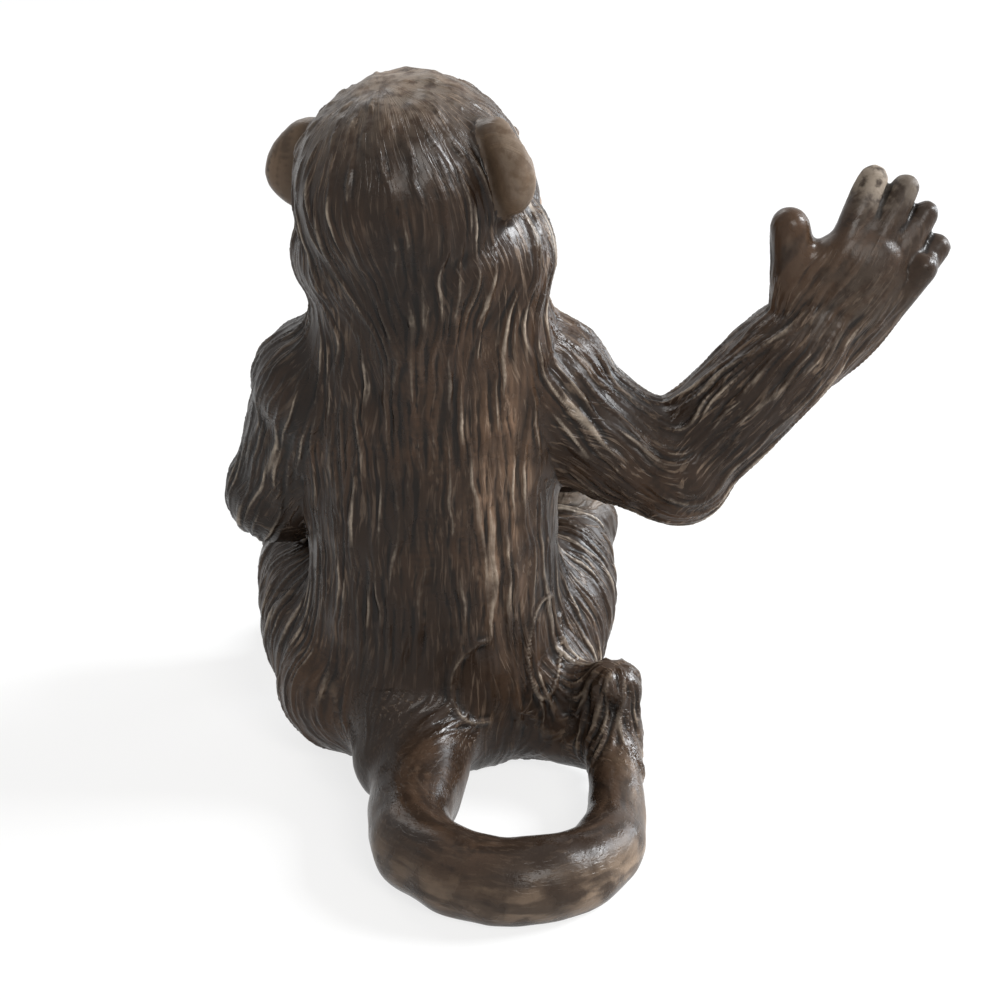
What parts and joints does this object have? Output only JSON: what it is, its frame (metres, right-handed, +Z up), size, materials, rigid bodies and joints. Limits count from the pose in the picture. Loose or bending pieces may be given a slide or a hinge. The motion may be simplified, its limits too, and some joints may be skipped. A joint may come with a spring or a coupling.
{
  "type": "monkey figurine",
  "caption": "Seated monkey figurine with sculpted fur, one arm held out with an open hand, the other across its lap, and a tail curled in a loop on the ground behind it.",
  "frame": {"origin": "on the ground, under the middle of the figure's box", "axes": "+Z up; the monkey's body faces -Y, so its right side is at -X and its tail at +Y"},
  "size_m": [0.0678, 0.0634, 0.0671],
  "materials": {
    "fur": "semi-gloss dark brown paint over sculpted fur, dry-brushed grey-tan on the ridges",
    "bare_skin": "semi-gloss olive-tan paint with a paler rim",
    "tail_skin": "smooth warm brown paint, worn to tan on the outside of the bend"
  },
  "bodies": {
    "root": {"torso": "fur", "head": "fur", "right_ear": "bare_skin", "left_ear": "bare_skin", "right_arm": "fur", "left_arm": "fur", "right_leg": "fur", "left_leg": "fur", "tail": "tail_skin"}
  },
  "joints": []
}
